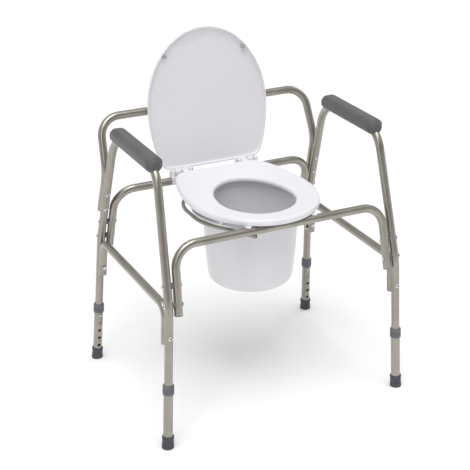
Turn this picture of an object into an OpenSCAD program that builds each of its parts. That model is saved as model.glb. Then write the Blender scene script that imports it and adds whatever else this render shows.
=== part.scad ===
// Commode chair: bent steel tube frame on four telescoping legs, hinged seat
// ring and lid, and a lift-out pail hanging between two bowed rails.
// Millimetres. +X is to the right for someone who faces the front of the chair,
// -Y is the front, +Z is up, z = 0 is the floor.

/* [Frame] */
// outside diameter of the frame tube
tube_d = 22.2; // [19:0.1:25.4]
// wall of the frame tube
tube_wall = 1.4; // [1:0.1:2]
// half distance between the feet
foot_x = 351; // [300:1:380]
// distance between front and rear feet
foot_span = 525; // [450:1:600]
// inward lean of each side frame, per millimetre of height
splay = 0.045; // [0:0.001:0.08]
// height of the arm tube axis
arm_z = 738; // [680:1:780]
// radius of the front arm corners
arm_r = 75; // [50:1:90]
// radius of the rear arm corners
arm_rr = 110; // [60:1:120]
// height of the seat tube axis
seat_tube_z = 545.5; // [480:0.5:600]
// radius of the seat tube corners
seat_tube_r = 60; // [40:1:80]
// height of the side brace axis
brace_z = 391; // [350:1:450]
// height of the backrest bar axis
back_z = 740; // [700:1:800]

/* [Legs] */
// outside diameter of the leg extension
sleeve_d = 25.4; // [24:0.1:28]
// inside radius of the leg extension
sleeve_ri = 11.4; // [11.3:0.1:11.8]
// distance between adjustment holes
hole_pitch = 25.4; // [20:0.1:30]
// height of the snap button
button_z = 149.4; // [120:0.1:180]
// height of the rubber foot
foot_h = 35; // [25:1:50]
// outside diameter of the rubber foot
foot_d = 32; // [28:1:40]

/* [Seat] */
// half width of the seat ring
ring_a = 177; // [150:1:200]
// underside of the seat ring
ring_z = 560; // [558:0.5:580]
// thickness of the seat ring
ring_t = 16; // [10:1:25]
// half width of the lid
lid_a = 182; // [150:1:200]
// backward lean of the open lid in degrees
lid_lean = 8.7; // [0:0.1:15]

/* [Pail] */
// inside radius of the pail at the top
pail_r = 128; // [100:1:135]
// outside radius of the pail flange
flange_r = 162; // [140:1:165]
// underside of the pail
pail_z = 323; // [300:1:360]

/* [Hidden] */
$fn = 40;
ro = tube_d / 2;
ri = ro - tube_wall;
yo = -foot_span / 2;
tilt = atan(splay);
fslope = 0.030;
rslope = 0.085;
fup = 0.276;
rup = 0.31;
fb = [fslope * 391, 391];
rb = [foot_span - rslope * 400, 400];
leg_end = 112;
hinge_y = 450;
hinge_z = 571;
pin_r = 4;
rail_z = 528.4;
rail_r = 5.5;
pail_y = 222;
flange_z = rail_z + rail_r + 0.4;

steel = [0.62, 0.60, 0.55];
zinc = [0.78, 0.79, 0.80];
grey = [0.40, 0.40, 0.39];
dark = [0.24, 0.24, 0.26];
white = [0.93, 0.93, 0.94];

// geometry helpers
function unit(v) = v / norm(v);
function turn(P, i) = acos(unit(P[i] - P[i - 1]) * unit(P[i + 1] - P[i]));
function tang(P, R, i) = (i == 0 || i == len(P) - 1) ? 0 : R[i] * tan(turn(P, i) / 2);

module bar(a, b, r) {
  d = unit(b - a);
  translate(a) rotate([0, acos(d[2]), atan2(d[1], d[0])]) cylinder(h = norm(b - a), r = r);
}

module elbow(P, R, i, r) {
  t = tang(P, R, i);
  p1 = P[i] + unit(P[i - 1] - P[i]) * t;
  p2 = P[i] + unit(P[i + 1] - P[i]) * t;
  c = P[i] + unit(unit(P[i - 1] - P[i]) + unit(P[i + 1] - P[i])) * R[i] / cos(turn(P, i) / 2);
  x = unit(p1 - c);
  z = unit(cross(p1 - c, p2 - c));
  y = cross(z, x);
  multmatrix([[x[0], y[0], z[0], c[0]], [x[1], y[1], z[1], c[1]], [x[2], y[2], z[2], c[2]],
    [0, 0, 0, 1]])
    rotate_extrude(angle = turn(P, i), $fn = 96) translate([R[i], 0]) circle(r);
}

module path_rod(P, R, r) {
  n = len(P);
  for (i = [0 : n - 2]) {
    d = unit(P[i + 1] - P[i]);
    bar(P[i] + d * (tang(P, R, i) - (i == 0 ? 0 : 0.5)),
      P[i + 1] - d * (tang(P, R, i + 1) - (i == n - 2 ? 0 : 0.5)), r);
  }
  for (i = [1 : n - 2]) elbow(P, R, i, r + 0.1);
}

function stretch(P) = let (n = len(P)) [for (i = [0 : n - 1])
  i == 0 ? P[0] + unit(P[0] - P[1]) : i == n - 1 ? P[i] + unit(P[i] - P[i - 1]) : P[i]];

module pipe(P, R, r, w) {
  difference() {
    path_rod(P, R, r);
    path_rod(stretch(P), R, r - w);
  }
}

// a point of a side frame from its side view place
function side(s, y, z) = [s * (foot_x - splay * z), y + yo, z];

function frame_pts(s) = [side(s, fslope * leg_end, leg_end), side(s, fb[0], fb[1]),
  side(s, fb[0] + fup * (arm_z - fb[1]), arm_z), side(s, rb[0] - rup * (arm_z - rb[1]), arm_z),
  side(s, rb[0], rb[1]), side(s, foot_span - rslope * leg_end, leg_end)];
frame_rad = [0, 250, arm_r, arm_rr, 250, 0];

// stands children on a leg's axis, origin on the floor, local z up the leg
module on_leg(s, k) {
  translate([s * foot_x, yo + (k == 0 ? 0 : foot_span), 0])
    rotate([0, -s * tilt, 0]) rotate([k == 0 ? -atan(fslope) : atan(rslope), 0, 0]) children();
}
// side of the leg that the button and its holes face
function face(k) = k == 0 ? 1 : -1;

// bolt places: height, along Y in the side view
tube_bolt_z = [402, 450];
back_bolt_z = [499, 547];
// lower end of the backrest uprights
back_end = 484;
brace_bolt_z = 317;
function fy(z) = z < 391 ? fslope * z : fb[0] + fup * (z - 391);
function ry(z) = z < 400 ? foot_span - rslope * z : rb[0] - rup * (z - 400);

module x_hole(s, y, z, r, l) {
  translate([s * (foot_x - splay * z), y + yo, z]) rotate([0, 90 - s * tilt, 0])
    cylinder(h = l, r = r, center = true);
}
module y_hole(s, y, z, r, l, lean) {
  translate(side(s, y, z)) rotate([90 + lean, 0, 0]) cylinder(h = l, r = r, center = true);
}

module side_frame(s) {
  color(steel) difference() {
    pipe(frame_pts(s), frame_rad, ro, tube_wall);
    for (z = tube_bolt_z) {
      x_hole(s, fy(z), z, 3.1, 40);
      x_hole(s, ry(z), z, 3.1, 40);
    }
    for (z = back_bolt_z) y_hole(s, ry(z), z, 3.1, 40, atan(rup));
    y_hole(s, fy(brace_bolt_z), brace_bolt_z, 3.1, 40, -atan(fslope));
    y_hole(s, ry(brace_bolt_z), brace_bolt_z, 3.1, 40, atan(rslope));
    for (k = [0, 1]) on_leg(s, k) translate([0, 0, button_z / cos(tilt)])
      rotate([-90 * face(k), 0, 0]) cylinder(h = 15, r = 4.3);
  }
}

module side_frame_left() { side_frame(-1); }
module side_frame_right() { side_frame(1); }
side_frame_left();
side_frame_right();

// seat tubes: a U on its head, its ends bolted to the inner side of two legs
function seat_pts(k) = let (z0 = 373, z1 = seat_tube_z, y0 = k == 0 ? 11 : 493, y1 = k == 0 ? 46 : 450)
  [[-308, y0 + yo, z0], [-300.2, y1 + yo, z1], [300.2, y1 + yo, z1], [308, y0 + yo, z0]];
module seat_tube(k) {
  color(steel) difference() {
    pipe(seat_pts(k), [0, seat_tube_r, seat_tube_r, 0], ro, tube_wall);
    for (s = [-1, 1]) for (z = tube_bolt_z)
      x_hole(s, k == 0 ? fy(z) : ry(z), z, 3.1, 120);
    for (s = [-1, 1])
      translate([s * 74, (k == 0 ? 50 : 446) + yo, seat_tube_z]) cylinder(h = 60, r = 2.6, center = true);
    if (k == 1) for (s = [-1, 1]) for (x = [76, 130])
      translate([s * x, hinge_y + yo, seat_tube_z]) cylinder(h = 30, r = 2.1);
  }
}
module front_seat_tube() { seat_tube(0); }
module rear_seat_tube() { seat_tube(1); }
front_seat_tube();
rear_seat_tube();

// backrest: uprights ride behind the rear legs, then lean back to a top bar
back_gap = tube_d * 1.045 + 0.3;
module backrest_tube() {
  lo = back_end;
  mid = 603;
  pts = [for (s = [-1, 1]) [side(s, ry(lo) + back_gap, lo), side(s, ry(mid) + back_gap, mid)]];
  top = [-314, 508.5 + yo, back_z];
  color(steel) difference() {
    pipe([pts[0][0], pts[0][1], top, [314, top[1], back_z], pts[1][1], pts[1][0]],
      [0, 90, 58, 58, 90, 0], ro, tube_wall);
    for (s = [-1, 1]) for (z = back_bolt_z) y_hole(s, ry(z), z, 3.1, 90, atan(rup));
  }
}
backrest_tube();

// side braces: turned down at both ends so the ends lie along the legs
module brace(s) {
  g = tube_d + 0.3;
  f0 = fslope * 290 + g;
  f1 = fslope * brace_z + g;
  r0 = foot_span - rslope * 290 - g - 0.1;
  r1 = foot_span - rslope * brace_z - g - 0.1;
  color(steel) difference() {
    pipe([side(s, f0, 290), side(s, f1, brace_z), side(s, r1, brace_z), side(s, r0, 290)],
      [0, 32, 32, 0], ro, tube_wall);
    y_hole(s, fy(brace_bolt_z), brace_bolt_z, 3.1, 120, -atan(fslope));
    y_hole(s, ry(brace_bolt_z), brace_bolt_z, 3.1, 120, atan(rslope));
  }
}
module brace_left() { brace(-1); }
module brace_right() { brace(1); }
brace_left();
brace_right();

// bowed rods that carry the pail's flange
module pail_rail(s) {
  pts = [[74, 44], [164, 188], [164, 308], [74, 452]];
  color(steel) difference() {
    pipe([for (p = pts) [s * p[0], p[1] + yo, rail_z]], [0, 120, 120, 0], rail_r, 1.2);
    for (y = [50, 446]) translate([s * 74, y + yo, rail_z]) cylinder(h = 20, r = 2.6, center = true);
  }
}
module pail_rail_left() { pail_rail(-1); }
module pail_rail_right() { pail_rail(1); }
pail_rail_left();
pail_rail_right();

// arm pads: straight eight-sided moulded bars with chamfered ends
module pad_slice(y, z, w, h) {
  c = min(11, h * 0.28);
  translate([0, y, z]) rotate([90, 0, 0]) linear_extrude(height = 0.4, center = true)
    polygon([[w / 2 - c, h / 2], [w / 2, h / 2 - c], [w / 2, c - h / 2], [w / 2 - c, -h / 2],
      [c - w / 2, -h / 2], [-w / 2, c - h / 2], [-w / 2, h / 2 - c], [c - w / 2, h / 2]]);
}
module armrest_pad(s) {
  color(grey) difference() {
    translate([s * foot_x, yo, 0]) rotate([0, -s * tilt, 0]) hull() {
      pad_slice(108.6, arm_z - 1, 31, 28);
      pad_slice(121.5, arm_z + 2.5, 47, 40);
      pad_slice(366, arm_z + 2.5, 47, 40);
      pad_slice(378.5, arm_z - 1, 31, 28);
    }
    path_rod(frame_pts(s), frame_rad, ro + 0.02);
  }
}
module armrest_pad_left() { armrest_pad(-1); }
module armrest_pad_right() { armrest_pad(1); }
armrest_pad_left();
armrest_pad_right();

// leg extensions: outer sleeves with a row of holes
module leg_extension(s, k) {
  color(steel) on_leg(s, k) difference() {
    translate([0, 0, 6]) cylinder(h = 153, r = sleeve_d / 2);
    translate([0, 0, 5]) cylinder(h = 155, r = sleeve_ri);
    for (i = [0 : 4]) translate([0, 0, button_z - i * hole_pitch])
      rotate([-90 * face(k), 0, 0]) cylinder(h = 15, r = 4.4);
  }
}
module leg_extension_fl() { leg_extension(-1, 0); }
module leg_extension_fr() { leg_extension(1, 0); }
module leg_extension_rl() { leg_extension(-1, 1); }
module leg_extension_rr() { leg_extension(1, 1); }
leg_extension_fl();
leg_extension_fr();
leg_extension_rl();
leg_extension_rr();

// collars on the sleeve tops
module leg_collar(s, k) {
  color(dark) on_leg(s, k) translate([0, 0, 157]) rotate_extrude($fn = 48)
    polygon([[12.7, 0], [14.4, 0], [15, 0.8], [15, 25], [14.2, 26.4], [13, 27], [sleeve_ri, 27],
      [sleeve_ri, 2], [12.7, 2]]);
}
module leg_collar_fl() { leg_collar(-1, 0); }
module leg_collar_fr() { leg_collar(1, 0); }
module leg_collar_rl() { leg_collar(-1, 1); }
module leg_collar_rr() { leg_collar(1, 1); }
leg_collar_fl();
leg_collar_fr();
leg_collar_rl();
leg_collar_rr();

// rubber feet: closed cups, cut flat on the floor
module foot_tip(s, k) {
  r = foot_d / 2;
  color(dark) difference() {
    on_leg(s, k) rotate_extrude($fn = 48)
      polygon([[0, -3], [r, -3], [r, 5], [r - 0.7, 7], [r - 0.7, foot_h - 9], [r, foot_h - 7.5],
        [r, foot_h - 2], [r - 1, foot_h], [12.7, foot_h], [12.7, 6], [0, 6]]);
    translate([s * foot_x - 30, yo + (k == 0 ? 0 : foot_span) - 30, -20]) cube([60, 60, 20]);
  }
}
module foot_tip_fl() { foot_tip(-1, 0); }
module foot_tip_fr() { foot_tip(1, 0); }
module foot_tip_rl() { foot_tip(-1, 1); }
module foot_tip_rr() { foot_tip(1, 1); }
foot_tip_fl();
foot_tip_fr();
foot_tip_rl();
foot_tip_rr();

// snap buttons: a domed pin on a small round head inside the tube
module snap_button(s, k) {
  color(zinc) on_leg(s, k) translate([0, 0, button_z]) rotate([-90 * face(k), 0, 0])
    rotate_extrude($fn = 40) polygon([[0, 6.2], [5.2, 6.2], [5.2, 7.6], [3.9, 7.6], [3.9, 13.4],
      [3.4, 14.8], [2.3, 15.6], [0, 15.9]]);
}
module snap_button_fl() { snap_button(-1, 0); }
module snap_button_fr() { snap_button(1, 0); }
module snap_button_rl() { snap_button(-1, 1); }
module snap_button_rr() { snap_button(1, 1); }
snap_button_fl();
snap_button_fr();
snap_button_rl();
snap_button_rr();

// leaf springs that push the buttons out, anchored to the tube's far wall
module button_spring(s, k) {
  color(zinc) on_leg(s, k) translate([0, 0, button_z]) rotate([0, 0, k == 0 ? 0 : 180])
    translate([-3.5, 0, 0]) rotate([90, 0, 90]) linear_extrude(height = 7)
      polygon([[5.8, 7], [5.2, 7], [4.6, -19], [-0.2, -30], [-4.2, -30], [-8, -19], [-8, 4], [-8.6, 4],
        [-8.6, -19.2], [-4.6, -30.8], [0.2, -30.8], [5.2, -19.2]]);
}
module button_spring_fl() { button_spring(-1, 0); }
module button_spring_fr() { button_spring(1, 0); }
module button_spring_rl() { button_spring(-1, 1); }
module button_spring_rr() { button_spring(1, 1); }
button_spring_fl();
button_spring_fr();
button_spring_rl();
button_spring_rr();

// seat ring: an egg outline, straight across the rear, with an oval opening
function egg(a, f, w, r, n) = concat(
  [for (i = [0 : n]) let (t = 180 * i / n) [a * cos(t), w - (w - f) * sin(t)]],
  [for (i = [1 : n - 1]) let (t = 180 * i / n) [-a * cos(t), w + (r - w) * sin(t)]]);
module egg2d(a, f, w, r, cut) {
  intersection() {
    polygon(egg(a, f, w, r, 40));
    translate([-300, -300]) square([600, 300 + cut]);
  }
}
ring_f = 18;
ring_w = 215;
ring_cut = 438;
module ring_layer(e, z, h) {
  translate([0, yo, z]) linear_extrude(height = h) difference() {
    egg2d(ring_a - e, ring_f + e, ring_w, 524 - e, ring_cut - e);
    egg2d(104 + e, 78 - e, 190, 334 + e, 400);
  }
}
// lugs reach back from the seat parts to the hinge pin
ring_lug_x = [82, 101];
lid_lug_x = [103, 122];
module lug(s, x, r, len, z0, z1) {
  translate([s > 0 ? x[0] : -x[1], hinge_y + yo, hinge_z]) rotate([90, 0, 90])
    linear_extrude(height = x[1] - x[0]) difference() {
      union() {
        circle(r);
        translate([-len, z0]) square([len, z1 - z0]);
      }
      circle(pin_r + 0.06);
    }
}
module seat_ring() {
  color(white) {
    ring_layer(2, ring_z, 2.5);
    ring_layer(0, ring_z + 2.5, ring_t - 6.5);
    ring_layer(3, ring_z + ring_t - 4, 4);
    for (s = [-1, 1]) lug(s, ring_lug_x, 8, 22, -8, 4);
  }
}
seat_ring();
module seat_bumpers() {
  color(white) for (s = [-1, 1]) {
    translate([s * 96, 46 + yo, ring_z - 2.9]) cylinder(h = 2.9, r = 8);
    translate([s * 136, 120 + yo, ring_z - 12]) cylinder(h = 12, r1 = 6, r2 = 8);
  }
}
seat_bumpers();

// lid: a shallow dished shell with a turned rim, drawn closed and swung open
lid_f = 60;
lid_w = 280;
module lid_pose() {
  translate([0, hinge_y + yo, hinge_z]) rotate([-(90 + lid_lean), 0, 0])
    translate([0, -hinge_y - yo, -hinge_z]) children();
}
module lid_layer(e, i, z, h) {
  translate([0, yo, z]) linear_extrude(height = h) difference() {
    egg2d(lid_a - e, lid_f + e, lid_w, 560 - e, 446 - e);
    if (i > 0) egg2d(lid_a - i, lid_f + i, lid_w, 560 - i, 446 - i);
  }
}
lid_z = hinge_z + 8.5;
module seat_lid() {
  color(white) lid_pose() {
    lid_layer(0, 4, lid_z, 6);
    lid_layer(0.8, 4, lid_z + 6, 2);
    lid_layer(1.6, 9, lid_z + 8, 1.5);
    lid_layer(4, 0, lid_z + 9.5, 2.5);
    lid_layer(26, 29, lid_z + 7, 2.5);
    for (s = [-1, 1]) lug(s, lid_lug_x, 8, 11.5, 0, 20);
  }
}
seat_lid();
module lid_bumpers() {
  color(dark) lid_pose() for (s = [-1, 1])
    translate([s * 119.3, 129.5 + yo, hinge_z + 5.4]) cylinder(h = 11.1, r = 5);
}
lid_bumpers();

// hinge brackets: saddles on the rear seat tube with two ears and a pin
module hinge_bracket(s) {
  color(white) difference() {
    union() {
      for (x = [[72, 80], [124, 134]])
        translate([s > 0 ? x[0] : -x[1], hinge_y + yo, hinge_z]) rotate([90, 0, 90])
          linear_extrude(height = x[1] - x[0]) hull() {
            circle(8);
            translate([-11, -30]) square([22, 2]);
          }
      translate([s > 0 ? 72 : -134, hinge_y + yo - 13, seat_tube_z - 5]) cube([62, 26, 20]);
    }
    translate([0, hinge_y + yo, seat_tube_z]) rotate([0, 90, 0])
      cylinder(h = 400, r = ro + 0.02, center = true);
    translate([s > 0 ? 70 : -136, hinge_y + yo, hinge_z]) rotate([0, 90, 0])
      cylinder(h = 66, r = pin_r + 0.01);
    translate([s > 0 ? 80.001 : -123.999, hinge_y + yo, hinge_z]) rotate([0, 90, 0])
      cylinder(h = 43.998, r = 9);
    for (x = [76, 130]) translate([s * x, hinge_y + yo, seat_tube_z]) cylinder(h = 13, r = 2.1);
  }
}
module hinge_bracket_left() { hinge_bracket(-1); }
module hinge_bracket_right() { hinge_bracket(1); }
hinge_bracket_left();
hinge_bracket_right();
module hinge_pin(s) {
  color(zinc) translate([s > 0 ? 69 : -137, hinge_y + yo, hinge_z]) rotate([0, 90, 0]) {
    cylinder(h = 68, r = pin_r);
    translate([0, 0, s > 0 ? -2 : 68]) cylinder(h = 2, r = 6);
  }
}
module hinge_pin_left() { hinge_pin(-1); }
module hinge_pin_right() { hinge_pin(1); }
hinge_pin_left();
hinge_pin_right();
module bracket_screws() {
  color(zinc) for (s = [-1, 1]) for (x = [76, 130])
    translate([s * x, hinge_y + yo, seat_tube_z + 8]) cylinder(h = 5, r = 2);
}
bracket_screws();

// pail: tapering wall, rounded foot, wide flange that rests on the rails
module pail() {
  r = pail_r;
  b = pail_z;
  f = flange_z;
  color(white) translate([0, pail_y + yo, 0]) rotate_extrude($fn = 120)
    polygon([[0, b + 2], [88, b + 2], [90, b], [100, b], [107, b + 3], [113, b + 9], [116, b + 17],
      [r - 3.5, b + 100], [r + 2.6, f - 12], [r + 2.6, f], [flange_r - 1, f], [flange_r, f + 1],
      [flange_r, f + 5.5], [flange_r - 1, f + 6.5], [flange_r - 2.6, f + 6.5], [flange_r - 2.6, f + 2.6],
      [r, f + 2.6], [r, f - 12], [r - 6.1, b + 100], [113.4, b + 17.5], [110.6, b + 10.5],
      [105.6, b + 5.4], [99, b + 2.8], [90, b + 2.8], [88, b + 4.6], [0, b + 4.6]]);
}
pail();

// binding bolts through leg and seat tube, low heads on both sides
module tube_bolts(k) {
  color(zinc) for (s = [-1, 1]) for (z = tube_bolt_z) {
    y = k == 0 ? fy(z) : ry(z);
    translate([s * (foot_x - splay * z), y + yo, z]) rotate([0, 90 * s - s * tilt, 0]) {
      translate([0, 0, -38.5]) cylinder(h = 51, r = 3);
      translate([0, 0, ro + 0.25]) cylinder(h = 2.6, r1 = 6, r2 = 4.6);
      translate([0, 0, -40]) cylinder(h = 2.4, r1 = 4, r2 = 5.4);
    }
  }
}
module front_tube_bolts() { tube_bolts(0); }
module rear_tube_bolts() { tube_bolts(1); }
front_tube_bolts();
rear_tube_bolts();

// saddle washers that fill the space between a leg and a seat tube
module tube_spacers() {
  color(dark) difference() {
    for (s = [-1, 1]) for (k = [0, 1]) for (z = tube_bolt_z)
      translate([s * (foot_x - splay * z), (k == 0 ? fy(z) : ry(z)) + yo, z])
        rotate([0, 90 * s - s * tilt, 0]) translate([0, 0, -18.5]) difference() {
          cylinder(h = 11, r = 7.5);
          translate([0, 0, -1]) cylinder(h = 13, r = 3.1);
        }
    for (s = [-1, 1]) path_rod(frame_pts(s), frame_rad, ro + 0.05);
    for (k = [0, 1]) path_rod(seat_pts(k), [0, seat_tube_r, seat_tube_r, 0], ro + 0.05);
  }
}
tube_spacers();

module backrest_rivets() {
  color(zinc) for (s = [-1, 1]) for (z = back_bolt_z)
    translate(side(s, ry(z), z)) rotate([90 + atan(rup), 0, 0]) {
      translate([0, 0, -36]) cylinder(h = 48, r = 3);
      translate([0, 0, ro + 0.3]) cylinder(h = 2.6, r1 = 6, r2 = 4.6);
      translate([0, 0, -38]) cylinder(h = 3, r1 = 4, r2 = 5.4);
    }
}
backrest_rivets();

module brace_bolts() {
  z = brace_bolt_z;
  color(zinc) for (s = [-1, 1]) {
    translate(side(s, fy(z), z)) rotate([90 - atan(fslope), 0, 0]) {
      translate([0, 0, -36]) cylinder(h = 48, r = 3);
      translate([0, 0, ro + 0.3]) cylinder(h = 2.6, r1 = 6, r2 = 4.6);
      translate([0, 0, -38]) cylinder(h = 3, r1 = 4, r2 = 5.4);
    }
    translate(side(s, ry(z), z)) rotate([-90 + atan(rslope), 0, 0]) {
      translate([0, 0, -36]) cylinder(h = 48, r = 3);
      translate([0, 0, ro + 0.3]) cylinder(h = 2.6, r1 = 6, r2 = 4.6);
      translate([0, 0, -38]) cylinder(h = 3, r1 = 4, r2 = 5.4);
    }
  }
}
brace_bolts();

module rail_screws() {
  color(zinc) for (s = [-1, 1]) for (y = [50, 446])
    translate([s * 74, y + yo, rail_z]) {
      translate([0, 0, -6.5]) cylinder(h = 20, r = 2.5);
      translate([0, 0, -8]) cylinder(h = 2.1, r = 4.6);
    }
}
rail_screws();

// plastic plugs in the open tube ends
module plug(a, b) {
  d = unit(b - a);
  bar(a - d * 1.6, a, ro);
  bar(a - d * 0.1, a + d * 12, ri - 0.05);
}
module tube_end_plugs() {
  color(dark) {
    for (k = [0, 1]) {
      plug(seat_pts(k)[0], seat_pts(k)[1]);
      plug(seat_pts(k)[3], seat_pts(k)[2]);
    }
    for (s = [-1, 1]) plug(side(s, ry(back_end) + back_gap, back_end),
      side(s, ry(603) + back_gap, 603));
  }
}
tube_end_plugs();
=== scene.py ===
import math

import bmesh
import bpy
from mathutils import Matrix, Vector


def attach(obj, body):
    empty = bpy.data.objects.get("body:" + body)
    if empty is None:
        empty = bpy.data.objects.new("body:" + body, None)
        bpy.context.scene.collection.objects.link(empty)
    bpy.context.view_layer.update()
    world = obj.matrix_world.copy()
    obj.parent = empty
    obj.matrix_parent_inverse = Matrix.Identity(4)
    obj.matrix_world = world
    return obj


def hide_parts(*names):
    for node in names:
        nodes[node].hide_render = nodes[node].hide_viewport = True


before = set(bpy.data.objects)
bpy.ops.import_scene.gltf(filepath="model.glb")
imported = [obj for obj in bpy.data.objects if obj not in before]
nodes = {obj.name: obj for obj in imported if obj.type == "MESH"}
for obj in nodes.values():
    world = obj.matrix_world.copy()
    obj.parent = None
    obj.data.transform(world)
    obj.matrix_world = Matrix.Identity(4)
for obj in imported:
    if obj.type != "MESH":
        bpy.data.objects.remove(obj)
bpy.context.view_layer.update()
print("frame loaded:", len(nodes), "solid parts")

mm = 0.001
rowShift = -262.5  # mm; the front feet stand this far in front of the middle
legSides = {"fl": (-1, 0), "fr": (1, 0), "rl": (-1, 1), "rr": (1, 1)}
# where the leg tubes run: mm, and mm across or along for each mm of height; a bend is (height, lean above it)
legs = {"footX": 351, "span": 525, "splay": 0.045, "frontLean": 0.030, "rearLean": 0.085,
        "frontBend": (391, 0.276), "rearBend": (400, 0.31)}
sideTilt = math.atan(legs["splay"])


# small tools

def colour(code):
    # an sRGB hex code as the linear values that shaders work in
    parts = [int(code[i:i + 2], 16) / 255 for i in (1, 3, 5)]
    return [p / 12.92 if p <= 0.04045 else ((p + 0.055) / 1.055) ** 2.4 for p in parts] + [1.0]


def addNode(tree, kind, settings=None, inputs=None):
    # one node, its settings, and its inputs as values or links
    node = tree.nodes.new(kind)
    for name, value in (settings or {}).items():
        setattr(node, name, value)
    for name, value in (inputs or {}).items():
        if isinstance(value, bpy.types.NodeSocket):
            tree.links.new(value, node.inputs[name])
        else:
            node.inputs[name].default_value = value
    return node


def startMaterial(name, plain):
    # a material with its shader, whose plain values are the same all over
    material = bpy.data.materials.new(name)
    material.use_nodes = True
    tree = material.node_tree
    tree.nodes.clear()
    shader = addNode(tree, "ShaderNodeBsdfPrincipled", inputs=plain)
    addNode(tree, "ShaderNodeOutputMaterial", inputs={"Surface": shader.outputs["BSDF"]})
    spot = addNode(tree, "ShaderNodeTexCoord").outputs["Object"]
    return material, tree, shader, spot


def noiseOf(tree, spot, sizeMm, detail=2.0, kind="ShaderNodeTexNoise"):
    # a pattern whose features are about sizeMm across
    return addNode(tree, kind, inputs={"Vector": spot, "Scale": 1000 / sizeMm, "Detail": detail})


def dress(tree, shader, pattern, pale, deep, gloss):
    # colour and roughness follow one slow pattern
    tint = addNode(tree, "ShaderNodeValToRGB", inputs={"Fac": pattern})
    tint.color_ramp.elements[0].position = 0.3
    tint.color_ramp.elements[1].position = 0.7
    tint.color_ramp.elements[0].color = colour(deep)
    tint.color_ramp.elements[1].color = colour(pale)
    tree.links.new(tint.outputs["Color"], shader.inputs["Base Color"])
    rough = addNode(tree, "ShaderNodeMapRange", inputs={
        "Value": pattern, "From Min": 0.3, "From Max": 0.7, "To Min": gloss[0], "To Max": gloss[1]})
    tree.links.new(rough.outputs["Result"], shader.inputs["Roughness"])
    return tint


def addRelief(tree, shader, height, strength, depthMm):
    bump = addNode(tree, "ShaderNodeBump", inputs={
        "Height": height, "Strength": strength, "Distance": depthMm * mm})
    tree.links.new(bump.outputs["Normal"], shader.inputs["Normal"])


def softCorners(points, steps=4):
    # points are (across, up, corner size); each corner becomes a short curve
    out = []
    for i, (across, up, size) in enumerate(points):
        here = Vector((across, up))
        if size <= 0:
            out.append((across, up))
            continue
        toPrevious = Vector(points[i - 1][:2]) - here
        toNext = Vector(points[(i + 1) % len(points)][:2]) - here
        a = here + toPrevious.normalized() * min(size, toPrevious.length * 0.48)
        b = here + toNext.normalized() * min(size, toNext.length * 0.48)
        for k in range(steps + 1):
            t = k / steps
            p = a * (1 - t) ** 2 + here * 2 * t * (1 - t) + b * t * t
            out.append((p.x, p.y))
    return out


def addLoft(bm, rings, closed=False):
    # quads between rings of points; closed joins the last ring to the first
    rows = [[bm.verts.new(p) for p in ring] for ring in rings]
    for i in range(len(rows) if closed else len(rows) - 1):
        a, b = rows[i], rows[(i + 1) % len(rows)]
        for j in range(len(a)):
            k = (j + 1) % len(a)
            bm.faces.new((a[j], a[k], b[k], b[j]))


def addLathe(bm, profile, count, place=None, closed=False):
    # turns a profile of (radius, height) in mm about the z axis
    place = place or Matrix()
    angles = [math.tau * j / count for j in range(count)]
    addLoft(bm, [[place @ Vector((r * math.cos(a), r * math.sin(a), h)) * mm for a in angles]
                 for r, h in profile], closed)


def newObject(name, mesh):
    piece = bpy.data.objects.new(name, mesh)
    bpy.context.scene.collection.objects.link(piece)
    return piece


def makePiece(name, bm, material, sharp=38):
    bmesh.ops.remove_doubles(bm, verts=bm.verts, dist=1e-6)
    bmesh.ops.dissolve_degenerate(bm, edges=bm.edges, dist=1e-7)
    bmesh.ops.recalc_face_normals(bm, faces=bm.faces)
    mesh = bpy.data.meshes.new(name)
    bm.to_mesh(mesh)
    bm.free()
    mesh.materials.append(material)
    mesh.shade_smooth()
    mesh.set_sharp_from_angle(angle=math.radians(sharp))
    return newObject(name, mesh)


def finishPiece(piece, body, slot, *replaced):
    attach(piece, body)
    if replaced:
        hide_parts(*replaced)


def plainMesh(piece):
    # the piece's mesh with its modifiers applied
    bpy.context.view_layer.update()
    return bpy.data.meshes.new_from_object(piece.evaluated_get(bpy.context.evaluated_depsgraph_get()))


def startTree(name, inputs):
    # a geometry tree whose sizes are named inputs
    tree = bpy.data.node_groups.new(name, "GeometryNodeTree")
    tree.interface.new_socket("Geometry", in_out="INPUT", socket_type="NodeSocketGeometry")
    for label, kind in inputs.items():
        tree.interface.new_socket(label, in_out="INPUT", socket_type="NodeSocket" + kind)
    tree.interface.new_socket("Geometry", in_out="OUTPUT", socket_type="NodeSocketGeometry")
    return tree, addNode(tree, "NodeGroupInput").outputs


def growPiece(name, tree, base, values, sharp=38):
    # runs a geometry tree on a base mesh, and keeps the result as a plain mesh
    seed = bpy.data.objects.new(name + "Base", base)
    grow = seed.modifiers.new(tree.name, "NODES")
    grow.node_group = tree
    for item in tree.interface.items_tree:
        if item.item_type == "SOCKET" and item.in_out == "INPUT" and item.name in values:
            grow[item.identifier] = values[item.name]
    bpy.context.scene.collection.objects.link(seed)
    mesh = plainMesh(seed)
    seed.modifiers.remove(grow)
    bpy.data.objects.remove(seed)
    mesh.name = name
    mesh.shade_smooth()
    mesh.set_sharp_from_angle(angle=math.radians(sharp))
    return newObject(name, mesh)


def legPlace(side, rear):
    # the leg's own axis in mm: origin on the floor, z up the leg
    lean = math.atan(legs["rearLean"]) if rear else -math.atan(legs["frontLean"])
    return (Matrix.Translation((side * legs["footX"], rowShift + (legs["span"] if rear else 0), 0))
            @ Matrix.Rotation(-side * sideTilt, 4, "Y") @ Matrix.Rotation(lean, 4, "X"))


# finishes

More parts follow.
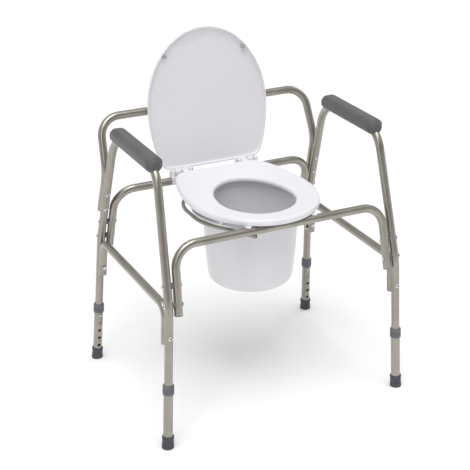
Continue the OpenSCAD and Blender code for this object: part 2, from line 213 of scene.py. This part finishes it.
# powder coat on steel tube: satin warm grey with a fine orange peel and slightly uneven gloss
coat = {"pale": "#a5a199", "deep": "#98948b", "cloud": 60, "peel": 4.0, "gloss": (0.27, 0.33)}
powderCoat, tree, shader, spot = startMaterial("powderCoatWarmGrey", {
    "Metallic": 0.85, "Coat Weight": 0.15, "Coat Roughness": 0.25})
slow = noiseOf(tree, spot, coat["cloud"], 3.0)
dress(tree, shader, slow.outputs["Fac"], coat["pale"], coat["deep"], coat["gloss"])
peel = noiseOf(tree, spot, coat["peel"])  # real peel is about 1 mm; drawn coarser so that it shows
addRelief(tree, shader, peel.outputs["Fac"], 0.06, 0.1)

# self-skinned foam on the arms: dark grey, dull, with a fine leathery grain
foam = {"pale": "#5c5c5d", "deep": "#505051", "cloud": 45, "grain": 2.2, "gloss": (0.42, 0.56)}
padFoam, tree, shader, spot = startMaterial("selfSkinnedFoamGrey", {
    "Specular IOR Level": 0.4, "Sheen Weight": 0.12, "Sheen Roughness": 0.5})
slow = noiseOf(tree, spot, foam["cloud"], 3.0)
dress(tree, shader, slow.outputs["Fac"], foam["pale"], foam["deep"], foam["gloss"])
grain = addNode(tree, "ShaderNodeTexVoronoi", {"feature": "SMOOTH_F1"}, {
    "Vector": spot, "Scale": 1000 / foam["grain"], "Smoothness": 0.6})
addRelief(tree, shader, grain.outputs["Distance"], 0.35, 0.25)

# moulded nylon collars: blue grey, half dull, faint moulding texture
nylon = {"pale": "#6c6c73", "deep": "#606067", "cloud": 20, "grain": 1.4, "gloss": (0.40, 0.52)}
collarNylon, tree, shader, spot = startMaterial("mouldedNylonGrey", {"IOR": 1.53})
slow = noiseOf(tree, spot, nylon["cloud"])
dress(tree, shader, slow.outputs["Fac"], nylon["pale"], nylon["deep"], nylon["gloss"])
grain = noiseOf(tree, spot, nylon["grain"])
addRelief(tree, shader, grain.outputs["Fac"], 0.25, 0.08)

# rubber feet: near black grey, dull, paler where the floor has scuffed the lower edge
rubber = {"pale": "#55555c", "deep": "#46464d", "scuff": "#7a7878", "cloud": 12, "scuffTop": 6,
          "gloss": (0.62, 0.78)}
footRubber, tree, shader, spot = startMaterial("mouldedRubberGrey", {"Specular IOR Level": 0.35})
slow = noiseOf(tree, spot, rubber["cloud"], 3.0)
tint = dress(tree, shader, slow.outputs["Fac"], rubber["pale"], rubber["deep"], rubber["gloss"])
height = addNode(tree, "ShaderNodeSeparateXYZ", inputs={"Vector": spot})
nearFloor = addNode(tree, "ShaderNodeMapRange", inputs={
    "Value": height.outputs["Z"], "From Min": 0.0, "From Max": rubber["scuffTop"] * mm,
    "To Min": 0.5, "To Max": 0.0})
worn = addNode(tree, "ShaderNodeMath", {"operation": "MULTIPLY"})
tree.links.new(nearFloor.outputs["Result"], worn.inputs[0])
tree.links.new(slow.outputs["Fac"], worn.inputs[1])
scuffed = addNode(tree, "ShaderNodeMix", {"data_type": "RGBA"}, {"Factor": worn.outputs["Value"]})
tree.links.new(tint.outputs["Color"], scuffed.inputs[6])
scuffed.inputs[7].default_value = colour(rubber["scuff"])
tree.links.new(scuffed.outputs[2], shader.inputs["Base Color"])
addRelief(tree, shader, slow.outputs["Fac"], 0.2, 0.2)

# zinc-plated steel: bright, a little cloudy
zinc = {"pale": "#e4e4e2", "deep": "#c9cac9", "cloud": 5, "gloss": (0.22, 0.36)}
zincPlate, tree, shader, spot = startMaterial("zincPlatedSteel", {"Metallic": 1.0})
slow = noiseOf(tree, spot, zinc["cloud"])
dress(tree, shader, slow.outputs["Fac"], zinc["pale"], zinc["deep"], zinc["gloss"])
addRelief(tree, shader, slow.outputs["Fac"], 0.08, 0.05)

# painted shade for the centre of a rivet or a driver recess: the same steel, painted dark where the recess
# lies in shadow
recess = {"pale": "#45433f", "deep": "#2c2b29", "cloud": 2, "gloss": (0.5, 0.7)}
recessPaintedShade, tree, shader, spot = startMaterial("recessPaintedShadeSteel", {"Metallic": 0.6})
slow = noiseOf(tree, spot, recess["cloud"])
dress(tree, shader, slow.outputs["Fac"], recess["pale"], recess["deep"], recess["gloss"])

# spring steel strip: brushed along its length
spring = {"pale": "#b8babb", "deep": "#9a9c9e", "line": 0.8, "gloss": (0.25, 0.4)}
springSteel, tree, shader, spot = startMaterial("springSteelBrushed", {"Metallic": 1.0})
along = addNode(tree, "ShaderNodeMapping", inputs={"Vector": spot, "Scale": (1, 1, 0.05)})
lines = noiseOf(tree, along.outputs["Vector"], spring["line"])
dress(tree, shader, lines.outputs["Fac"], spring["pale"], spring["deep"], spring["gloss"])
addRelief(tree, shader, lines.outputs["Fac"], 0.1, 0.05)

# soft vinyl buffers on the lid: pale translucent grey, dull
vinyl = {"pale": "#b4b4b6", "deep": "#a3a3a6", "cloud": 6, "gloss": (0.45, 0.6)}
bufferVinyl, tree, shader, spot = startMaterial("softVinylGrey", {
    "Subsurface Weight": 0.1, "Subsurface Scale": 0.002})
slow = noiseOf(tree, spot, vinyl["cloud"])
dress(tree, shader, slow.outputs["Fac"], vinyl["pale"], vinyl["deep"], vinyl["gloss"])
addRelief(tree, shader, slow.outputs["Fac"], 0.1, 0.1)

# injection-moulded polypropylene seat and lid: clean white, glossy, faint flow clouds
seat = {"pale": "#e5e4e8", "deep": "#e3e3e7", "cloud": 160, "ripple": 14, "gloss": (0.27, 0.31)}
seatPlastic, tree, shader, spot = startMaterial("mouldedPolypropyleneWhite", {
    "IOR": 1.49, "Subsurface Weight": 0.06, "Subsurface Scale": 0.004})
slow = noiseOf(tree, spot, seat["cloud"], 0.0)
dress(tree, shader, slow.outputs["Fac"], seat["pale"], seat["deep"], seat["gloss"])
ripple = noiseOf(tree, spot, seat["ripple"])
addRelief(tree, shader, ripple.outputs["Fac"], 0.05, 0.1)

# blow-moulded pail: the same white, a little greyer, with faint upright flow streaks
pail = {"pale": "#e4e4e8", "deep": "#e1e1e5", "streak": 40, "gloss": (0.29, 0.35)}
pailPlastic, tree, shader, spot = startMaterial("mouldedPailWhite", {
    "IOR": 1.49, "Subsurface Weight": 0.08, "Subsurface Scale": 0.004})
along = addNode(tree, "ShaderNodeMapping", inputs={"Vector": spot, "Scale": (1, 1, 0.12)})
streak = noiseOf(tree, along.outputs["Vector"], pail["streak"], 1.0)
dress(tree, shader, streak.outputs["Fac"], pail["pale"], pail["deep"], pail["gloss"])
addRelief(tree, shader, streak.outputs["Fac"], 0.05, 0.12)
print("finishes made")

nodeFinish = {
    "side_frame": powderCoat, "front_seat_tube": powderCoat, "rear_seat_tube": powderCoat,
    "backrest_tube": powderCoat, "brace_left": powderCoat, "brace_right": powderCoat,
    "pail_rail": powderCoat, "leg_extension": powderCoat, "armrest_pad": padFoam,
    "leg_collar": collarNylon, "tube_end_plugs": collarNylon, "tube_spacers": collarNylon,
    "foot_tip": footRubber, "lid_bumpers": bufferVinyl, "seat_ring": seatPlastic,
    "seat_lid": seatPlastic, "seat_bumpers": seatPlastic, "hinge_bracket": seatPlastic,
    "pail": pailPlastic, "snap_button": zincPlate, "hinge_pin": zincPlate,
    "bracket_screws": zincPlate, "rail_screws": zincPlate, "button_spring": springSteel,
    "front_tube_bolts": zincPlate, "rear_tube_bolts": zincPlate, "backrest_rivets": zincPlate,
    "brace_bolts": zincPlate}
for name, node in nodes.items():
    start = max((key for key in nodeFinish if name.startswith(key)), key=len)
    for holder in node.material_slots:
        holder.material = nodeFinish[start]
print("solid parts dressed")


# seat ring and lid: egg outlines swept round, from a profile of (edge, inset mm, height mm),
# or ("share", how far across from the inner edge, height mm)

def eggReach(angle, centre, egg, inset=0.0):
    # mm from a centre on the middle line to the egg's edge in one direction
    across, along = math.cos(angle), math.sin(angle)
    near, far = 0.0, 600.0
    for _ in range(36):
        t = (near + far) / 2
        y = centre + along * t
        reach = egg["widest"] - egg["front"] if y < egg["widest"] else egg["rear"] - egg["widest"]
        inside = (across * t / (egg["half"] - inset)) ** 2 + ((y - egg["widest"]) / (reach - inset)) ** 2 < 1
        near, far = (t, far) if inside else (near, t)
    if "cut" in egg and along > 0.01:
        straight = (egg["cut"] - inset - centre) / along
        near = (near ** -22 + straight ** -22) ** (-1 / 22)
    return near


def eggRing(centre, outer, inner, edge, inset, height, count):
    # one ring of points: on the outer edge, on the inner edge, or a share of the way across
    points = []
    for j in range(count):
        angle = math.tau * j / count
        if edge == "outer":
            reach = eggReach(angle, centre, outer, inset)
        elif edge == "inner":
            reach = eggReach(angle, centre, inner, -inset)
        else:
            low = eggReach(angle, centre, inner) if inner else 0
            reach = low + (eggReach(angle, centre, outer) - low) * inset
        points.append(Vector((reach * math.cos(angle), centre + rowShift + reach * math.sin(angle), height)))
    return points


ear = {"radius": 8.0, "edge": 0.9, "bore": 4.06, "count": 64}


def addLug(bm, fromX, toX, front, low, high, hinge, place=Matrix()):
    # a rounded ear round the hinge pin, joined to its panel by a block
    angles = sorted([math.tau * j / ear["count"] for j in range(ear["count"])]
                    + [math.atan2(high, -front) % math.tau, math.atan2(low, -front) % math.tau])
    rings = []
    edge = ear["edge"]
    for x, trim in ((fromX, edge), (fromX + edge, 0), (toX - edge, 0), (toX, edge)):
        ring = []
        for a in angles:
            across, up = math.cos(a), math.sin(a)
            reach = ear["radius"]
            if across < -1e-6 and low <= 0 <= high:
                side = high / up if up > 1e-6 else (low / up if up < -1e-6 else 1e9)
                reach = max(reach, min(front / -across, side))
            ring.append((x, across * (reach - trim), up * (reach - trim)))
        rings.append(ring)
    bore = [[(x, ear["bore"] * math.cos(a), ear["bore"] * math.sin(a)) for a in angles]
            for x in (toX, fromX)]
    rings += bore
    addLoft(bm, [[place @ Vector((x, hinge[0] + y, hinge[1] + z)) * mm for x, y, z in ring]
                 for ring in rings], closed=True)


hinge = (450 + rowShift, 571)  # mm, across the hinge pins

ringSize = {"count": 176, "low": 560, "centre": 215,
            "outer": {"half": 177, "front": 18, "widest": 215, "rear": 524, "cut": 438},
            "inner": {"half": 104, "front": 78, "widest": 190, "rear": 334},
            "profile": [
                ("outer", 1.6, 0), ("outer", 0.3, 0.8), ("outer", 0, 3), ("outer", 0, 7),
                ("outer", 0.7, 10.5), ("outer", 2.4, 13.4), ("outer", 5, 15.2), ("outer", 9, 16),
                ("outer", 15, 15.8), ("share", 0.72, 15.2), ("share", 0.5, 14.4), ("share", 0.3, 13.7),
                ("inner", 14, 13.2), ("inner", 8, 12.7), ("inner", 4, 11.5), ("inner", 1.4, 9.2),
                ("inner", 0.2, 6), ("inner", 0, 3), ("inner", 0.3, 1), ("inner", 1.6, 0),
                ("inner", 3.6, 0), ("inner", 4.2, 0.8), ("inner", 4.8, 8.4), ("inner", 9, 9.8),
                ("share", 0.3, 10.1), ("share", 0.5, 10.7), ("share", 0.72, 11.4), ("outer", 12, 11.8),
                ("outer", 6, 10.8), ("outer", 4.2, 1), ("outer", 3.6, 0)],
            "lugs": (82, 101)}
bm = bmesh.new()
addLoft(bm, [[p * mm for p in eggRing(ringSize["centre"], ringSize["outer"], ringSize["inner"], edge, inset,
                                      ringSize["low"] + height, ringSize["count"])]
             for edge, inset, height in ringSize["profile"]], closed=True)
for side in (-1, 1):
    a, b = sorted(side * x for x in ringSize["lugs"])
    addLug(bm, a, b, 22, -8, 4, hinge)
seatRing = makePiece("seatRing", bm, seatPlastic)
finishPiece(seatRing, "ring", "seat_plastic", "seat_ring")

# stiffening ribs in the hollow under the ring
ribs = {"count": 30, "thick": 2.2, "tall": 9.5}
ribTree, given = startTree("stiffeningRibs", {"Thickness": "Float", "Height": "Float", "Plastic": "Material"})
size = addNode(ribTree, "ShaderNodeCombineXYZ", inputs={
    "X": 1.0, "Y": given["Thickness"], "Z": given["Height"]})
block = addNode(ribTree, "GeometryNodeMeshCube", inputs={"Size": size.outputs["Vector"]})
aim = addNode(ribTree, "GeometryNodeInputNamedAttribute", {"data_type": "FLOAT_VECTOR"}, {"Name": "aim"})
reach = addNode(ribTree, "GeometryNodeInputNamedAttribute", {"data_type": "FLOAT"}, {"Name": "reach"})
turn = addNode(ribTree, "FunctionNodeAlignRotationToVector", {"axis": "X"}, {
    "Vector": aim.outputs["Attribute"]})
stretch = addNode(ribTree, "ShaderNodeCombineXYZ", inputs={
    "X": reach.outputs["Attribute"], "Y": 1.0, "Z": 1.0})
placed = addNode(ribTree, "GeometryNodeInstanceOnPoints", inputs={
    "Points": given["Geometry"], "Instance": block.outputs["Mesh"], "Rotation": turn.outputs["Rotation"],
    "Scale": stretch.outputs["Vector"]})
solid = addNode(ribTree, "GeometryNodeRealizeInstances", inputs={"Geometry": placed.outputs["Instances"]})
painted = addNode(ribTree, "GeometryNodeSetMaterial", inputs={
    "Geometry": solid.outputs["Geometry"], "Material": given["Plastic"]})
addNode(ribTree, "NodeGroupOutput", inputs={"Geometry": painted.outputs["Geometry"]})

spots, aims, reaches = [], [], []
for j in range(ribs["count"]):
    angle = math.tau * (j + 0.5) / ribs["count"]
    low = eggReach(angle, ringSize["centre"], ringSize["inner"], -4)
    high = eggReach(angle, ringSize["centre"], ringSize["outer"], 4)
    middle = (low + high) / 2
    spots.append(Vector((middle * math.cos(angle), ringSize["centre"] + rowShift + middle * math.sin(angle),
                         ringSize["low"] + 1.2 + ribs["tall"] / 2)) * mm)
    aims.append((math.cos(angle), math.sin(angle), 0))
    reaches.append((high - low) * mm)
base = bpy.data.meshes.new("ribSpots")
base.from_pydata(spots, [], [])
base.attributes.new("aim", "FLOAT_VECTOR", "POINT").data.foreach_set("vector", [c for a in aims for c in a])
base.attributes.new("reach", "FLOAT", "POINT").data.foreach_set("value", reaches)
ringRibs = growPiece("ringRibs", ribTree, base, {
    "Thickness": ribs["thick"] * mm, "Height": ribs["tall"] * mm, "Plastic": seatPlastic})
finishPiece(ringRibs, "ring", "seat_plastic")

lidSize = {"count": 176, "low": 579.5, "centre": 280, "lean": 98.7,
           "outer": {"half": 182, "front": 60, "widest": 280, "rear": 560, "cut": 446},
           "profile": [
               ("share", 0, 12), ("share", 0.3, 12), ("share", 0.6, 12), ("outer", 26, 12),
               ("outer", 9, 11.8),
               ("outer", 4.5, 11), ("outer", 1.8, 9), ("outer", 0.4, 6.5), ("outer", 0, 4), ("outer", 0, 1.6),
               ("outer", 0.5, 0.4), ("outer", 1.5, 0), ("outer", 3.0, 0), ("outer", 4.0, 0.5),
               ("outer", 4.6, 2),
               ("outer", 5.4, 6.4), ("outer", 7.4, 7.9), ("outer", 12, 8.5), ("outer", 26, 8.7),
               ("share", 0.6, 8.8), ("share", 0.3, 8.8), ("share", 0, 8.8)],
           "lugs": (103, 122)}
hingeLine = Matrix.Translation((0, hinge[0], hinge[1]))
lidOpen = hingeLine @ Matrix.Rotation(math.radians(-lidSize["lean"]), 4, "X") @ hingeLine.inverted()
bm = bmesh.new()
addLoft(bm, [[lidOpen @ p * mm for p in eggRing(lidSize["centre"], lidSize["outer"], None, edge, inset,
                                                lidSize["low"] + height, lidSize["count"])]
             for edge, inset, height in lidSize["profile"]])
for side in (-1, 1):
    a, b = sorted(side * x for x in lidSize["lugs"])
    addLug(bm, a, b, 11.5, 0, 20, hinge, lidOpen)
seatLid = makePiece("seatLid", bm, seatPlastic)
finishPiece(seatLid, "lid", "seat_plastic", "seat_lid")
print("seat ring and lid made")


# pail: turned wall with a rolled foot, and a flange with an upturned rim

pailSize = {"count": 160, "centre": 222, "low": 323, "flange": 534.3, "wall": 128, "flangeEdge": 162}
low, top, wall, rim = pailSize["low"], pailSize["flange"], pailSize["wall"], pailSize["flangeEdge"]
profile = softCorners([
    (0, low + 2, 0), (60, low + 2, 0), (87, low + 2, 1), (90, low, 1), (100, low, 3), (113, low + 8, 9),
    (116.6, low + 20, 6), (wall - 3.5, low + 100, 0), (wall + 1.4, top - 14, 0.6),
    (wall + 2.6, top - 12.5, 0.6),
    (wall + 2.6, top - 0.01, 1.6), (rim - 1.2, top, 0.8), (rim, top + 1.2, 0.8), (rim, top + 5.6, 1.0),
    (rim - 1.3, top + 6.5, 0.8), (rim - 2.6, top + 5.6, 0.8), (rim - 3.0, top + 2.7, 1.4),
    (wall + 0.2, top + 2.6, 2.2),
    (wall, top - 12, 0), (wall - 6.1, low + 100, 0), (113.8, low + 20, 6), (110.4, low + 10, 8),
    (99, low + 2.9, 3), (90, low + 2.9, 1), (87, low + 4.7, 1), (60, low + 4.7, 0), (0, low + 4.7, 0)], 3)
bm = bmesh.new()
addLathe(bm, profile, pailSize["count"], Matrix.Translation((0, pailSize["centre"] + rowShift, 0)))
pailBody = makePiece("pailBody", bm, pailPlastic)
finishPiece(pailBody, "pail", "pail_plastic", "pail")
print("pail made")


# arm pads: one straight moulded bar each, with eight soft facets and chamfered ends

padSize = {"corner": 10.5, "soft": 2.0,
           "stations": [  # mm along, middle height, width, height
               (108.8, 736.6, 15, 12), (109.0, 736.8, 24, 20), (110.4, 737.2, 28.5, 25),
               (114.5, 738.2, 36, 31.5), (119.0, 739.6, 43.5, 37.4), (121.6, 740.3, 46, 39.5),
               (124, 740.5, 46.5, 40), (134, 740.5, 46.5, 40), (180, 740.5, 46.5, 40),
               (245, 740.5, 46.5, 40), (310, 740.5, 46.5, 40), (345, 740.5, 46.5, 40),
               (356, 740.4, 46.4, 39.8), (363, 740.0, 45.8, 39.0), (368.5, 739.2, 44, 37),
               (373, 738.0, 40, 33.5), (376.6, 736.6, 33, 28), (378.2, 735.6, 26, 22),
               (378.5, 735.4, 16, 13)]}


def padRing(width, height, corner, soft):
    # eight-sided outline with two points by each corner, so that smoothing keeps flat facets
    w, h, c = width / 2, height / 2, min(corner, width * 0.28, height * 0.30)
    corners = [(w - c, h), (w, h - c), (w, c - h), (w - c, -h),
               (c - w, -h), (-w, c - h), (-w, h - c), (c - w, h)]
    points = []
    for i, (x, z) in enumerate(corners):
        here = Vector((x, z))
        for other in (corners[i - 1], corners[(i + 1) % 8]):
            gap = Vector(other) - here
            points.append(here + gap.normalized() * min(soft, gap.length * 0.3))
    return points


for side, word in ((-1, "Left"), (1, "Right")):
    place = (Matrix.Translation((side * legs["footX"], rowShift, 0))
             @ Matrix.Rotation(-side * sideTilt, 4, "Y"))
    rings = [[Vector((p.x, along, height + p.y))
              for p in padRing(wide, tall, padSize["corner"], padSize["soft"])]
             for along, height, wide, tall in padSize["stations"]]
    for end in (0, -1):  # the ends close on their middle point
        middle = sum(rings[end], Vector()) / len(rings[end])
        rings.insert(0 if end == 0 else len(rings), [middle.copy() for _ in rings[end]])
    bm = bmesh.new()
    addLoft(bm, [[place @ p * mm for p in ring] for ring in rings])
    pad = makePiece("armPad" + word, bm, padFoam, 180)
    smooth = pad.modifiers.new("soften", "SUBSURF")
    smooth.levels = smooth.render_levels = 3
    mesh = plainMesh(pad)
    pad.modifiers.clear()
    pad.data = mesh
    mesh.shade_smooth()
    finishPiece(pad, "frame", "pad_skin", "armrest_pad_" + word.lower())
print("arm pads made")


# collars and feet on the telescoping legs

grip = {"count": 28, "radius": 14.4, "width": 1.5, "low": 164.5, "tall": 11}
gripTree, given = startTree("collarGrip", {"Count": "Int", "Radius": "Float", "Rib Width": "Float",
                                           "Rib Height": "Float", "Plastic": "Material"})
circle = addNode(gripTree, "GeometryNodeMeshCircle", inputs={
    "Vertices": given["Count"], "Radius": given["Radius"]})
halfWidth = addNode(gripTree, "ShaderNodeMath", {"operation": "MULTIPLY"})
gripTree.links.new(given["Rib Width"], halfWidth.inputs[0])
halfWidth.inputs[1].default_value = 0.5
rib = addNode(gripTree, "GeometryNodeMeshCylinder", inputs={
    "Vertices": 8, "Radius": halfWidth.outputs["Value"], "Depth": given["Rib Height"]})
placed = addNode(gripTree, "GeometryNodeInstanceOnPoints", inputs={
    "Points": circle.outputs["Mesh"], "Instance": rib.outputs["Mesh"]})
solid = addNode(gripTree, "GeometryNodeRealizeInstances", inputs={"Geometry": placed.outputs["Instances"]})
painted = addNode(gripTree, "GeometryNodeSetMaterial", inputs={
    "Geometry": solid.outputs["Geometry"], "Material": given["Plastic"]})
addNode(gripTree, "NodeGroupOutput", inputs={"Geometry": painted.outputs["Geometry"]})

collarSize = {"count": 64, "profile": softCorners([
    (12.72, 157, 0), (14.6, 157, 0.6), (15.2, 158, 0.8), (15.2, 163.6, 0.8), (14.4, 164.6, 0.5),
    (14.4, 175.4, 0.5), (15.1, 176.4, 0.8), (15.1, 181.4, 0.8), (14.2, 183.2, 0.8), (13.0, 184, 0.6),
    (11.42, 184, 0.3), (11.42, 159.1, 0.2), (12.72, 159.1, 0)], 3)}
footSize = {"count": 64, "profile": softCorners([
    (0, -3, 0), (15.4, -3, 0), (16, -2, 0), (16, 4.5, 0.8), (15.3, 6.2, 0.5), (15.3, 9, 0.5),
    (15.9, 9.8, 0.4), (15.9, 11.2, 0.4), (15.2, 12, 0.4), (14.9, 25, 0.6), (15.9, 27, 0.8), (16, 33, 1.2),
    (14.9, 35, 0.9), (12.75, 35, 0.4), (12.75, 6.1, 0.2), (0, 6.1, 0)], 3)}
for leg, (side, rear) in legSides.items():
    place = legPlace(side, rear)
    bm = bmesh.new()
    addLathe(bm, collarSize["profile"], collarSize["count"], place, closed=True)
    collar = makePiece("collar_" + leg, bm, collarNylon)
    finishPiece(collar, "leg_" + leg, "collar_plastic", "leg_collar_" + leg)
    ribsRound = growPiece("collarGrip_" + leg, gripTree, bpy.data.meshes.new("gripBase"), {
        "Count": grip["count"], "Radius": grip["radius"] * mm, "Rib Width": grip["width"] * mm,
        "Rib Height": grip["tall"] * mm, "Plastic": collarNylon})
    shift = Matrix.Scale(mm, 4) @ place @ Matrix.Translation((0, 0, grip["low"] + grip["tall"] / 2))
    ribsRound.data.transform(shift @ Matrix.Scale(1 / mm, 4))
    finishPiece(ribsRound, "leg_" + leg, "collar_plastic")
    bm = bmesh.new()
    addLathe(bm, footSize["profile"], footSize["count"], place)
    for v in bm.verts:
        v.co.z = max(v.co.z, 0)  # the sole is flat on the floor
    foot = makePiece("foot_" + leg, bm, footRubber)
    finishPiece(foot, "leg_" + leg, "foot_rubber", "foot_tip_" + leg)
print("collars and feet made")


# bolts and rivets: a domed head whose recessed centre is painted dark as shade, set on points that carry
# their direction

fastener = {"headEdge": 6.2, "headTop": 2.7, "centre": 2.3, "depth": 1.7, "shank": 3.0,
            "seat": 11.35, "around": 28, "tails": {"tubeBolts": -40.0, "frameRivets": -38.0},
            "tubeBoltHeights": (402, 450), "backRivetHeights": (499, 547), "braceRivetHeight": 317}


def fastenerShape(name, tail):
    # drawn along z; the leg's axis is at 0 and the head sits on the tube's outer side
    f, seatAt = fastener, fastener["seat"]
    top, centre = seatAt + f["headTop"], f["centre"]
    bm = bmesh.new()
    addLathe(bm, softCorners([
        (0, tail, 0), (f["shank"] - 0.4, tail, 0), (f["shank"], tail + 0.6, 0), (f["shank"], seatAt, 0),
        (f["headEdge"], seatAt, 0.2), (f["headEdge"], seatAt + 0.8, 0.5), (centre + 2.0, top - 0.3, 1.2),
        (centre + 0.5, top, 0.4), (centre, top - 0.5, 0.3), (centre - 0.5, top - f["depth"], 0),
        (0, top - f["depth"] - 0.3, 0)], 2), f["around"])
    addLathe(bm, [(3.02, tail), (4.2, tail), (5.2, tail + 0.7), (5.4, tail + 2.4), (3.02, tail + 2.4)],
             f["around"], closed=True)  # the formed end on the far side
    shape = makePiece(name, bm, zincPlate)
    # the deep faces lie inside the head's recess; they get the steel painted dark as shade
    deep = shape.data.attributes.new("deep", "BOOLEAN", "FACE")
    limit = (top - 0.5) * mm
    for face in shape.data.polygons:
        far = max(shape.data.vertices[v].co.to_2d().length for v in face.vertices)
        deep.data[face.index].value = far < (centre + 0.05) * mm and seatAt * mm < face.center.z < limit
    return shape


fixTree, given = startTree("fasteners", {"Shape": "Object", "Metal": "Material", "Painted Shade Metal": "Material"})
shape = addNode(fixTree, "GeometryNodeObjectInfo", inputs={"Object": given["Shape"]})
aim = addNode(fixTree, "GeometryNodeInputNamedAttribute", {"data_type": "FLOAT_VECTOR"}, {"Name": "aim"})
turn = addNode(fixTree, "FunctionNodeAlignRotationToVector", {"axis": "Z"}, {
    "Vector": aim.outputs["Attribute"]})
placed = addNode(fixTree, "GeometryNodeInstanceOnPoints", inputs={
    "Points": given["Geometry"], "Instance": shape.outputs["Geometry"], "Rotation": turn.outputs["Rotation"]})
solid = addNode(fixTree, "GeometryNodeRealizeInstances", inputs={"Geometry": placed.outputs["Instances"]})
bright = addNode(fixTree, "GeometryNodeSetMaterial", inputs={
    "Geometry": solid.outputs["Geometry"], "Material": given["Metal"]})
# the recess faces take the steel painted dark as shade, standing in for the shadow inside the recess
deep = addNode(fixTree, "GeometryNodeInputNamedAttribute", {"data_type": "BOOLEAN"}, {"Name": "deep"})
dark = addNode(fixTree, "GeometryNodeSetMaterial", inputs={
    "Geometry": bright.outputs["Geometry"], "Selection": deep.outputs["Attribute"],
    "Material": given["Painted Shade Metal"]})
addNode(fixTree, "NodeGroupOutput", inputs={"Geometry": dark.outputs["Geometry"]})


def sideSpot(side, y, z):
    # a point of a side frame, from its place in the side view
    return Vector((side * (legs["footX"] - legs["splay"] * z), y + rowShift, z)) * mm


def frontLeg(z):
    # mm behind the front foot at a height
    bend, lean = legs["frontBend"]
    return legs["frontLean"] * min(z, bend) + lean * max(z - bend, 0)


def rearLeg(z):
    bend, lean = legs["rearBend"]
    return legs["span"] - legs["rearLean"] * min(z, bend) - lean * max(z - bend, 0)


places = {"tubeBolts": [], "frameRivets": []}
for side in (-1, 1):
    outward = (side * math.cos(sideTilt), 0, math.sin(sideTilt))
    for z in fastener["tubeBoltHeights"]:
        for y in (frontLeg(z), rearLeg(z)):
            places["tubeBolts"].append((sideSpot(side, y, z), outward))
    lean = math.atan(legs["rearBend"][1])
    for z in fastener["backRivetHeights"]:
        places["frameRivets"].append((sideSpot(side, rearLeg(z), z), (0, -math.cos(lean), -math.sin(lean))))
    z = fastener["braceRivetHeight"]
    lean = math.atan(legs["frontLean"])
    places["frameRivets"].append((sideSpot(side, frontLeg(z), z), (0, -math.cos(lean), math.sin(lean))))
    lean = math.atan(legs["rearLean"])
    places["frameRivets"].append((sideSpot(side, rearLeg(z), z), (0, math.cos(lean), math.sin(lean))))
standsFor = {"tubeBolts": ("front_tube_bolts", "rear_tube_bolts"),
             "frameRivets": ("backrest_rivets", "brace_bolts")}
for name, spots in places.items():
    shape = fastenerShape(name + "Shape", fastener["tails"][name])
    base = bpy.data.meshes.new(name + "Spots")
    base.from_pydata([spot for spot, _ in spots], [], [])
    aims = [c for _, direction in spots for c in direction]
    base.attributes.new("aim", "FLOAT_VECTOR", "POINT").data.foreach_set("vector", aims)
    fixed = growPiece(name, fixTree, base, {"Shape": shape, "Metal": zincPlate, "Painted Shade Metal": recessPaintedShade})
    bpy.data.objects.remove(shape)
    finishPiece(fixed, "frame", "zinc_plate", *standsFor[name])
print("bolts and rivets made")


# floor, light and camera

studio = {"floor": "#fafafa", "floorSize": 40, "sky": 0.60, "front": 0.20, "overhead": 2.1}
floorPaint, tree, shader, spot = startMaterial("floorMattPaint", {"Specular IOR Level": 0.2})
slow = noiseOf(tree, spot, 900)
dress(tree, shader, slow.outputs["Fac"], studio["floor"], "#f1f1f1", (0.8, 0.9))
bm = bmesh.new()
bmesh.ops.create_grid(bm, x_segments=4, y_segments=4, size=studio["floorSize"] / 2)
floorMesh = bpy.data.meshes.new("floor")
bm.to_mesh(floorMesh)
bm.free()
floorMesh.materials.append(floorPaint)
floor = newObject("floor", floorMesh)

world = bpy.data.worlds.new("softSky")
bpy.context.scene.world = world
world.use_nodes = True
tree = world.node_tree
wayOut = addNode(tree, "ShaderNodeTexCoord").outputs["Generated"]
toFront = addNode(tree, "ShaderNodeVectorMath", {"operation": "DOT_PRODUCT"})  # 1 towards the darker front
tree.links.new(wayOut, toFront.inputs[0])
toFront.inputs[1].default_value = (-0.42, -0.84, 0.34)
fall = addNode(tree, "ShaderNodeMapRange", {"interpolation_type": "SMOOTHSTEP"}, {
    "Value": toFront.outputs["Value"], "From Min": 0.25, "From Max": 0.95,
    "To Min": studio["sky"], "To Max": studio["front"]})
tree.links.new(fall.outputs["Result"], tree.nodes["Background"].inputs["Strength"])
tree.nodes["Background"].inputs["Color"].default_value = colour("#ffffff")


def addSoftbox(name, place, target, size, power):
    data = bpy.data.lights.new(name, "AREA")
    data.shape = "RECTANGLE"
    data.size, data.size_y = size
    data.energy = power
    light = bpy.data.objects.new(name, data)
    light.location = place
    light.rotation_euler = (Vector(target) - Vector(place)).to_track_quat("-Z", "Y").to_euler()
    bpy.context.scene.collection.objects.link(light)


addSoftbox("keySoftbox", (-2.4, -2.2, 2.4), (0, 0, 0.5), (1.0, 1.8), 16)
addSoftbox("rimSoftbox", (2.6, 1.2, 2.2), (0, 0, 0.5), (1.0, 1.8), 10)
sunData = bpy.data.lights.new("overheadDiffuser", "SUN")
sunData.energy = studio["overhead"]
sunData.angle = math.radians(50)
overhead = bpy.data.objects.new("overheadDiffuser", sunData)
overhead.rotation_euler = (math.radians(14), math.radians(-8), 0)
bpy.context.scene.collection.objects.link(overhead)

cameraPlace = {"at": (-1.3920, -2.7710, 1.8298), "turn": (65.705, 0.0, -26.228),
               "lens": 94.70, "sensor": 36.0}
cameraData = bpy.data.cameras.new("camera")
cameraData.lens = cameraPlace["lens"]
cameraData.sensor_width = cameraPlace["sensor"]
camera = bpy.data.objects.new("camera", cameraData)
camera.location = cameraPlace["at"]
camera.rotation_euler = [math.radians(a) for a in cameraPlace["turn"]]
bpy.context.scene.collection.objects.link(camera)
bpy.context.scene.camera = camera
bpy.context.scene.view_settings.view_transform = "Standard"
print("studio set")
